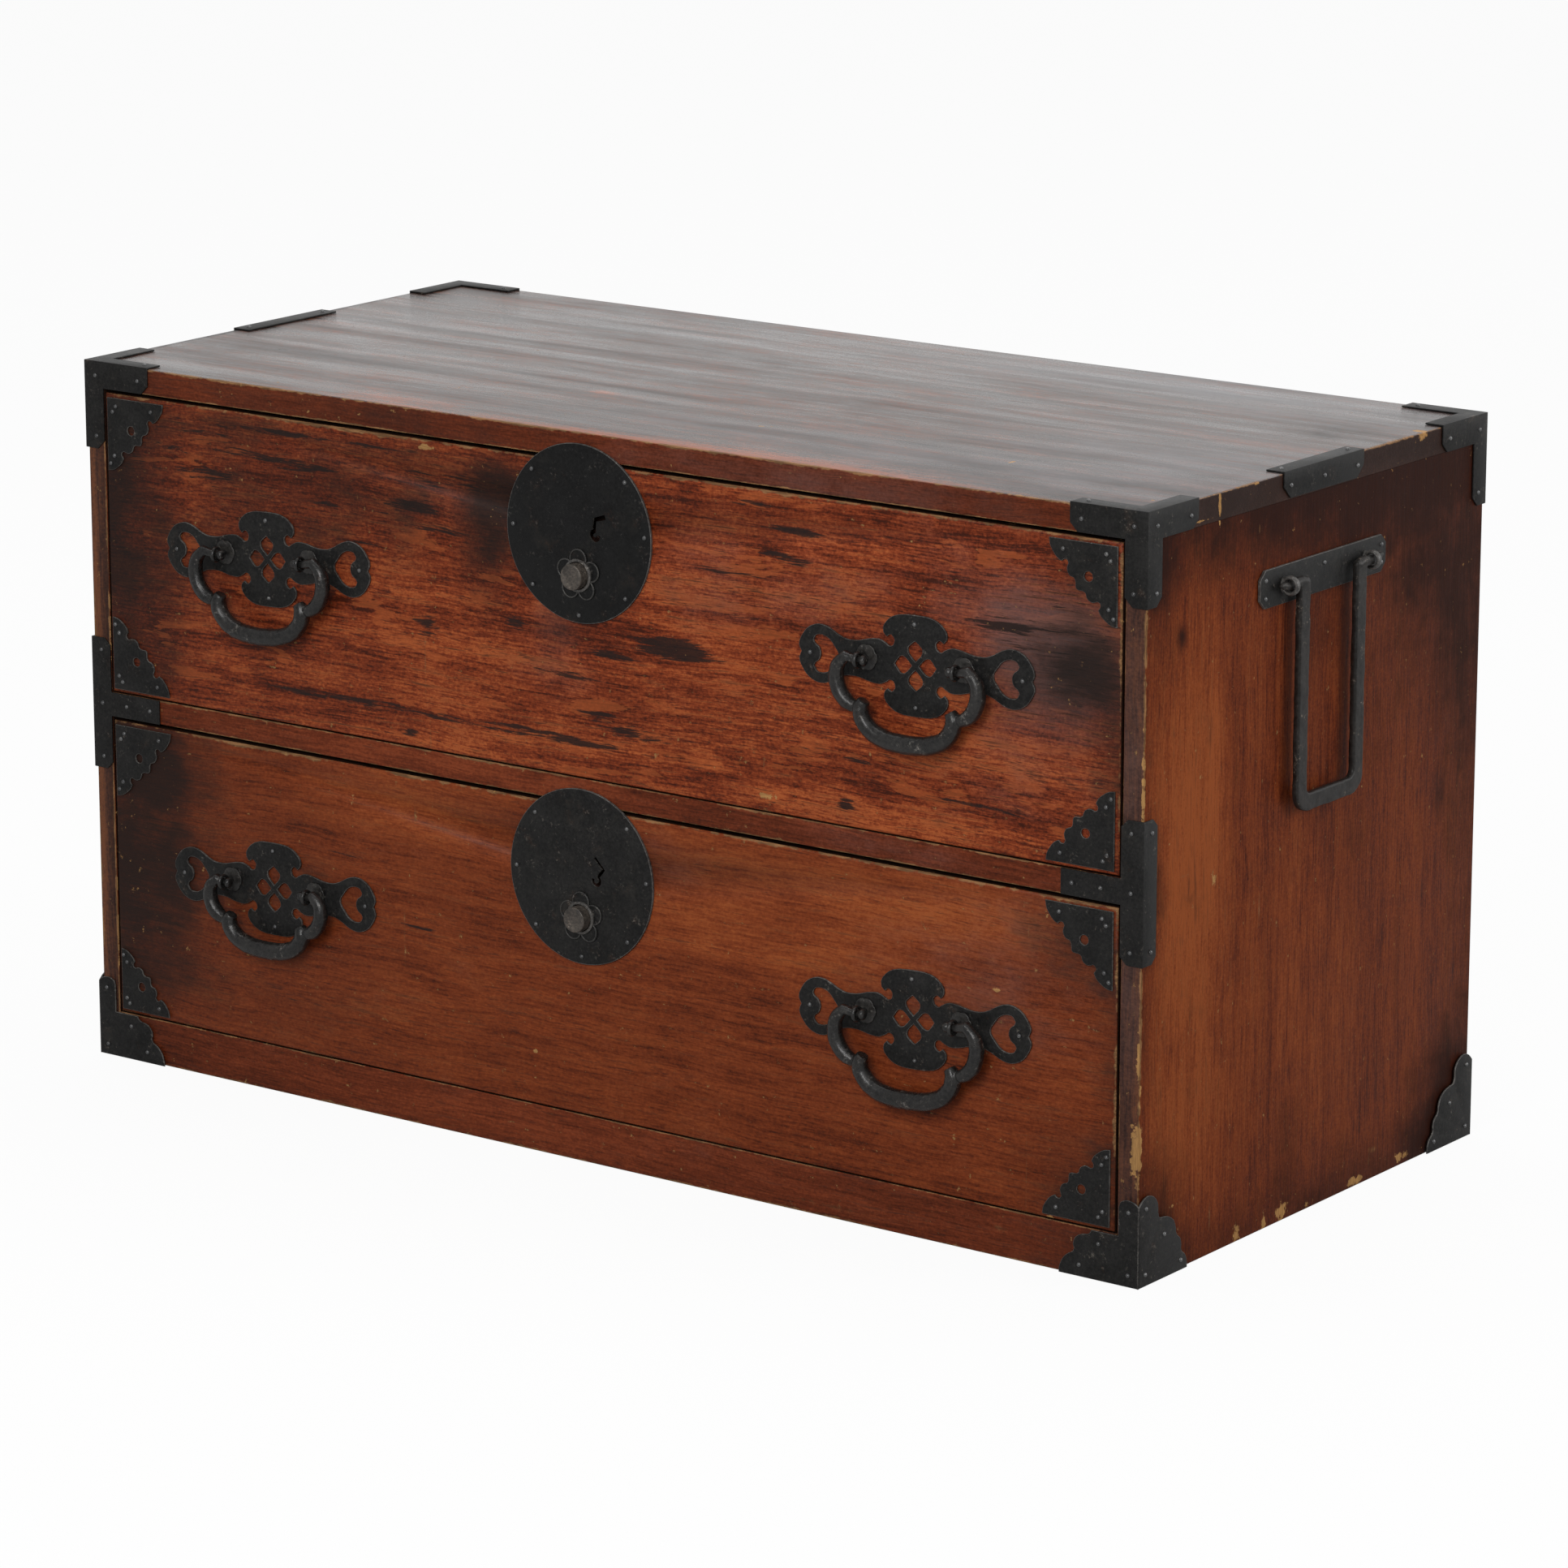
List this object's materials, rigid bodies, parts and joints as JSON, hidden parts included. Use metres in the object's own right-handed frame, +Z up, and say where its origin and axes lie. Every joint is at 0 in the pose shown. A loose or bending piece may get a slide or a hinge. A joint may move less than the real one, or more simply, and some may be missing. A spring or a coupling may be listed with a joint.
{
  "type": "two-drawer clothes chest section",
  "caption": "Low wide wooden chest of two full-width drawers with black forged iron corners, round lock plates, drop handles and side carrying handles.",
  "frame": {"origin": "middle of the case's underside", "axes": "+X to the right as seen from the front, +Y to the back, +Z up; the drawers open towards -Y"},
  "size_m": [0.9302, 0.4354, 0.5125],
  "materials": {
    "case_lacquer": "dark red-brown lacquer, worn at the edges",
    "drawer_lacquer": "translucent red-brown lacquer over strong grain",
    "bare_wood": "bare planed wood",
    "black_iron": "black burnt-lacquer finish on forged iron",
    "worn_iron": "black forged iron worn smooth by hands"
  },
  "bodies": {
    "case": {"top_board": "case_lacquer", "left_side": "case_lacquer", "right_side": "case_lacquer", "back_panel": "bare_wood", "bottom_board": "bare_wood", "base_rail": "case_lacquer", "middle_rail": "case_lacquer", "dust_board": "bare_wood", "left_runner": "bare_wood", "right_runner": "bare_wood", "top_iron_front_left": "black_iron", "top_iron_back_left": "black_iron", "foot_iron_front_left": "black_iron", "foot_iron_back_left": "black_iron", "middle_iron_left": "black_iron", "top_strap_left": "black_iron", "left_carry_plate": "black_iron", "top_iron_front_right": "black_iron", "top_iron_back_right": "black_iron", "foot_iron_front_right": "black_iron", "foot_iron_back_right": "black_iron", "middle_iron_right": "black_iron", "top_strap_right": "black_iron", "right_carry_plate": "black_iron"},
    "upper_drawer": {"upper_drawer_front": "drawer_lacquer", "upper_drawer_left_side": "bare_wood", "upper_drawer_right_side": "bare_wood", "upper_drawer_back": "bare_wood", "upper_drawer_bottom": "bare_wood", "upper_iron_top_left": "black_iron", "upper_iron_top_right": "black_iron", "upper_iron_bottom_left": "black_iron", "upper_iron_bottom_right": "black_iron", "upper_lock_plate": "black_iron", "upper_lock_cover": "black_iron", "upper_left_handle_plate": "black_iron", "upper_right_handle_plate": "black_iron"},
    "upper_left_bail": {"upper_left_bail": "worn_iron"},
    "upper_right_bail": {"upper_right_bail": "worn_iron"},
    "upper_lock_button": {"upper_lock_button": "worn_iron"},
    "upper_lock_bolt": {"upper_lock_bolt": "worn_iron"},
    "lower_drawer": {"lower_drawer_front": "drawer_lacquer", "lower_drawer_left_side": "bare_wood", "lower_drawer_right_side": "bare_wood", "lower_drawer_back": "bare_wood", "lower_drawer_bottom": "bare_wood", "lower_iron_top_left": "black_iron", "lower_iron_top_right": "black_iron", "lower_iron_bottom_left": "black_iron", "lower_iron_bottom_right": "black_iron", "lower_lock_plate": "black_iron", "lower_lock_cover": "black_iron", "lower_left_handle_plate": "black_iron", "lower_right_handle_plate": "black_iron"},
    "lower_left_bail": {"lower_left_bail": "worn_iron"},
    "lower_right_bail": {"lower_right_bail": "worn_iron"},
    "lower_lock_button": {"lower_lock_button": "worn_iron"},
    "lower_lock_bolt": {"lower_lock_bolt": "worn_iron"},
    "left_carry_bail": {"left_carry_bail": "worn_iron"},
    "right_carry_bail": {"right_carry_bail": "worn_iron"}
  },
  "joints": [
    {"name": "upper_drawer_slide", "type": "slide", "parent": "case", "child": "upper_drawer", "axis": [0, -1, 0], "range_m": [0, 0.33]},
    {"name": "upper_left_bail_hinge", "type": "hinge", "parent": "upper_drawer", "child": "upper_left_bail", "pos_m": [-0.28156, -0.2194, 0.3898], "axis": [-0.9994, 0, -0.0349], "range_deg": [0, 170]},
    {"name": "upper_right_bail_hinge", "type": "hinge", "parent": "upper_drawer", "child": "upper_right_bail", "pos_m": [0.27246, -0.2194, 0.3898], "axis": [-0.9997, 0, -0.0227], "range_deg": [0, 170]},
    {"name": "upper_button_press", "type": "slide", "parent": "upper_drawer", "child": "upper_lock_button", "axis": [0, 1, 0], "range_m": [0, 0.0045], "stiffness_N_per_m": 250},
    {"name": "upper_bolt_slide", "type": "slide", "parent": "upper_drawer", "child": "upper_lock_bolt", "axis": [0, 0, 1], "range_m": [0, 0.0075]},
    {"name": "lower_drawer_slide", "type": "slide", "parent": "case", "child": "lower_drawer", "axis": [0, -1, 0], "range_m": [0, 0.33]},
    {"name": "lower_left_bail_hinge", "type": "hinge", "parent": "lower_drawer", "child": "lower_left_bail", "pos_m": [-0.28152, -0.2194, 0.1518], "axis": [-0.9999, 0, -0.0122], "range_deg": [0, 170]},
    {"name": "lower_right_bail_hinge", "type": "hinge", "parent": "lower_drawer", "child": "lower_right_bail", "pos_m": [0.27242, -0.2194, 0.1518], "axis": [-0.9989, 0, -0.0471], "range_deg": [0, 170]},
    {"name": "lower_button_press", "type": "slide", "parent": "lower_drawer", "child": "lower_lock_button", "axis": [0, 1, 0], "range_m": [0, 0.0045], "stiffness_N_per_m": 250},
    {"name": "lower_bolt_slide", "type": "slide", "parent": "lower_drawer", "child": "lower_lock_bolt", "axis": [0, 0, 1], "range_m": [0, 0.0075]},
    {"name": "left_carry_bail_hinge", "type": "hinge", "parent": "case", "child": "left_carry_bail", "pos_m": [-0.4575, 0, 0.4375], "axis": [0, 1, 0], "range_deg": [0, 170]},
    {"name": "right_carry_bail_hinge", "type": "hinge", "parent": "case", "child": "right_carry_bail", "pos_m": [0.4575, 0, 0.4375], "axis": [0, -1, 0], "range_deg": [0, 170]}
  ],
  "couplings": [
    {"joint": "upper_bolt_slide", "follows": "upper_button_press", "ratio": 1.6666},
    {"joint": "lower_bolt_slide", "follows": "lower_button_press", "ratio": 1.6666}
  ]
}
